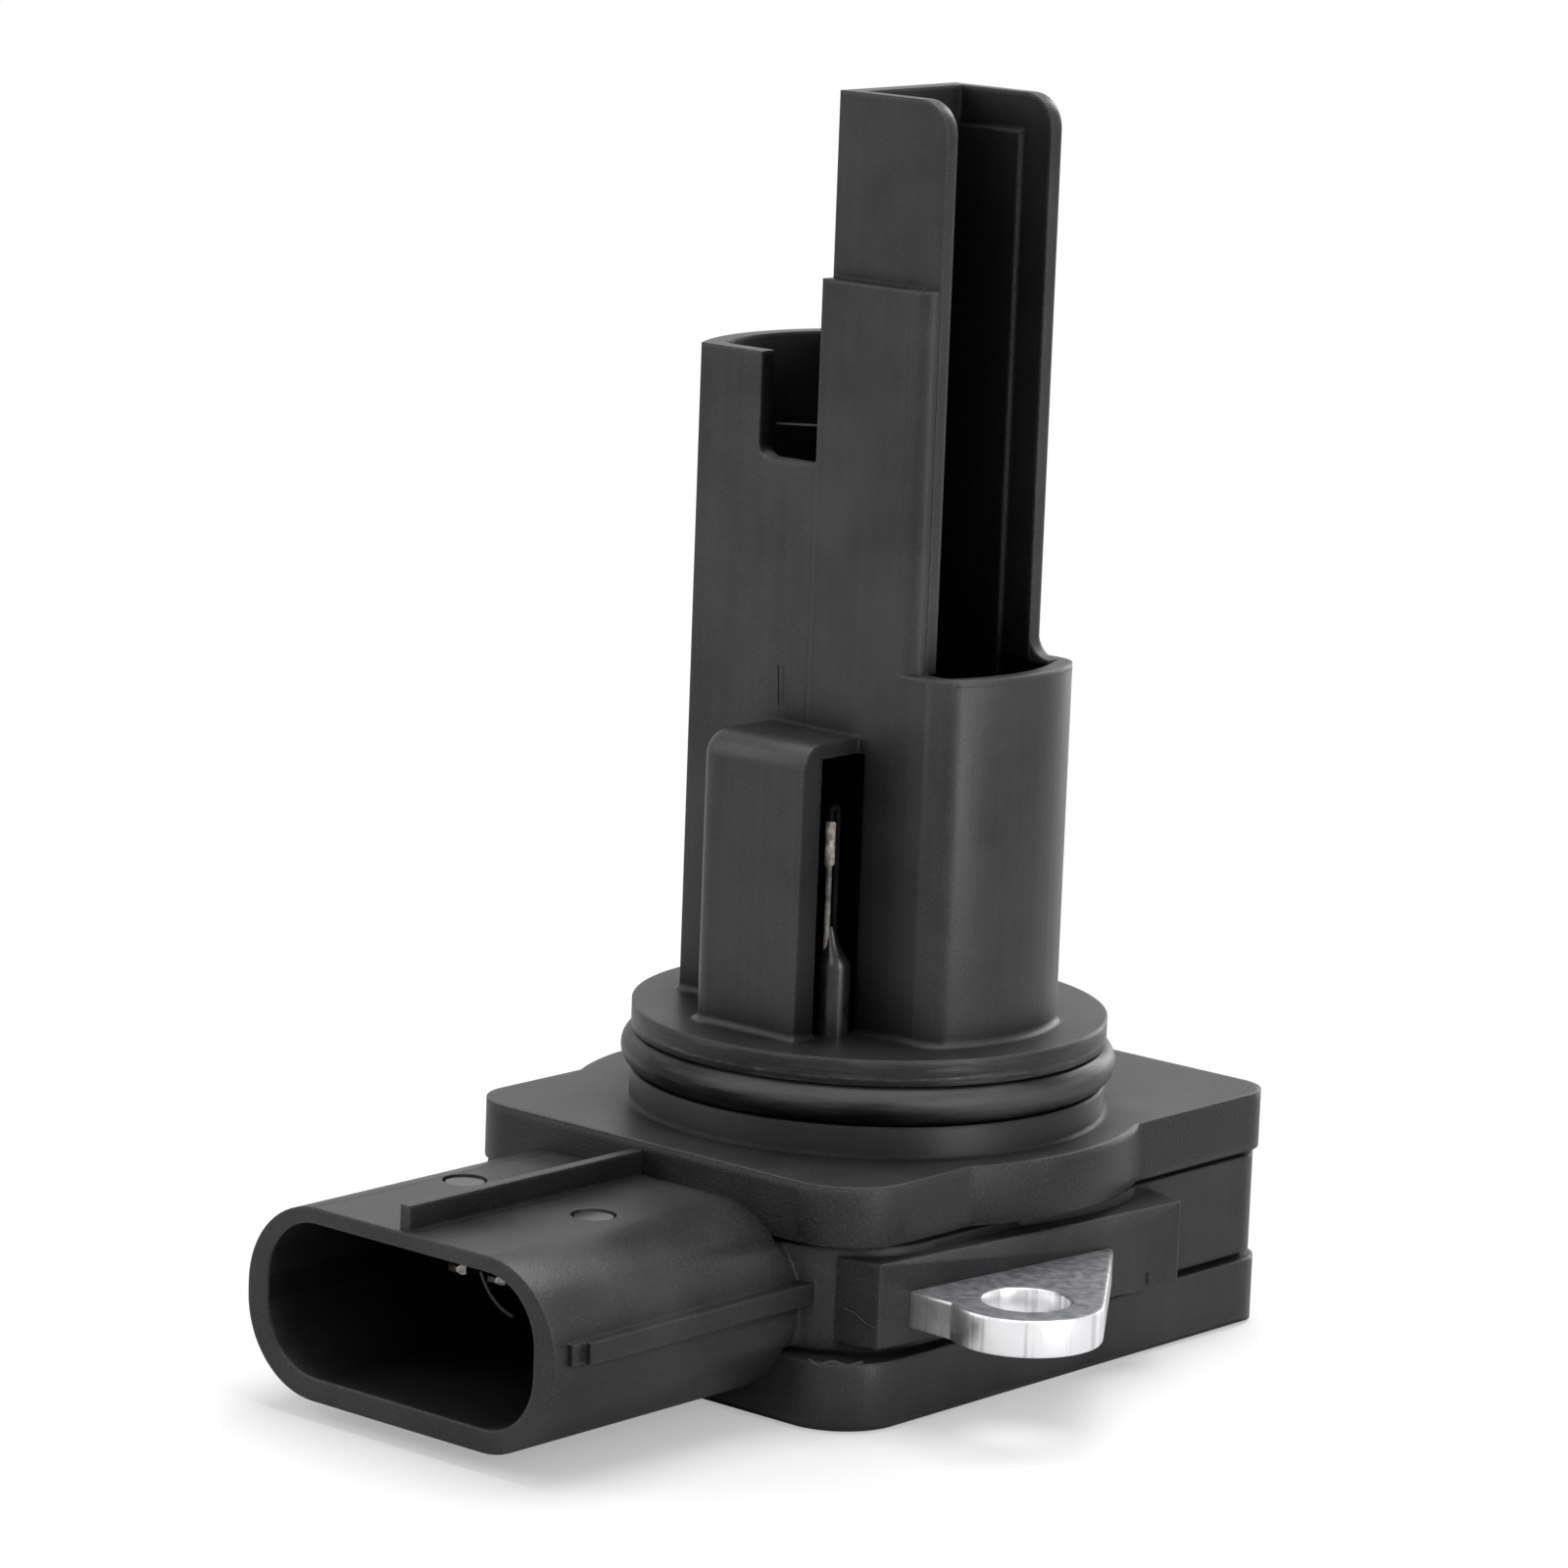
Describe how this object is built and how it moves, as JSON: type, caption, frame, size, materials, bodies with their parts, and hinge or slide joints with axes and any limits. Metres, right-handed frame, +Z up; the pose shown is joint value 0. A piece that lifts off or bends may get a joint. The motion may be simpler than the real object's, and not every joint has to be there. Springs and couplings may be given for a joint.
{
  "type": "mass airflow sensor",
  "caption": "Plug-in mass airflow sensor: sealed spigot, upright bypass duct with open channel, shielded air temperature bead, side connector socket and aluminium screw ears.",
  "frame": {"origin": "on the axis of the spigot and pillar, at the underside of the bottom cover", "axes": "+Z up the pillar away from the cover; +X towards the open side of the channel; -Y out of the connector socket"},
  "size_m": [0.0504, 0.0582, 0.0739],
  "materials": {
    "housing_plastic": "fine moulded grain on the flange, smoother on the pillar",
    "body_plastic": "satin moulded glass-filled polyester",
    "cover_plastic": "satin moulded glass-filled polyester",
    "seal_resin": "cured black silicone",
    "ring_rubber": "smooth, lightly oiled",
    "plate_aluminium": "pressed sheet, sheared edge",
    "terminal_tin": "bright tin plating",
    "board_laminate": "coated laminate",
    "bond_adhesive": "cured white thermal adhesive",
    "chip_resin": "moulded epoxy",
    "capacitor_body": "fired tan dielectric",
    "resistor_body": "glazed film",
    "sensing_laminate": "fired white alumina",
    "sensing_silicon": "polished silicon",
    "bead_coating": "pale coated bead",
    "lead_metal": "tinned wire",
    "sleeve_plastic": "smooth moulded sleeve"
  },
  "bodies": {
    "root": {"upper_housing": "housing_plastic", "connector_body": "body_plastic", "bottom_cover": "cover_plastic", "mounting_plate": "plate_aluminium", "o_ring": "ring_rubber", "cover_seal": "seal_resin", "flange_seal": "seal_resin", "board_adhesive": "bond_adhesive", "circuit_board": "board_laminate", "control_chip": "chip_resin", "capacitor_1": "capacitor_body", "capacitor_2": "capacitor_body", "resistor_1": "resistor_body", "resistor_2": "resistor_body", "sensing_substrate": "sensing_laminate", "sensing_chip": "sensing_silicon", "substrate_seal": "seal_resin", "thermistor_bead": "bead_coating", "thermistor_lead_1": "lead_metal", "thermistor_lead_2": "lead_metal", "thermistor_sleeve": "sleeve_plastic", "terminal_1": "terminal_tin", "terminal_2": "terminal_tin", "terminal_3": "terminal_tin", "terminal_4": "terminal_tin", "terminal_5": "terminal_tin"}
  },
  "joints": []
}
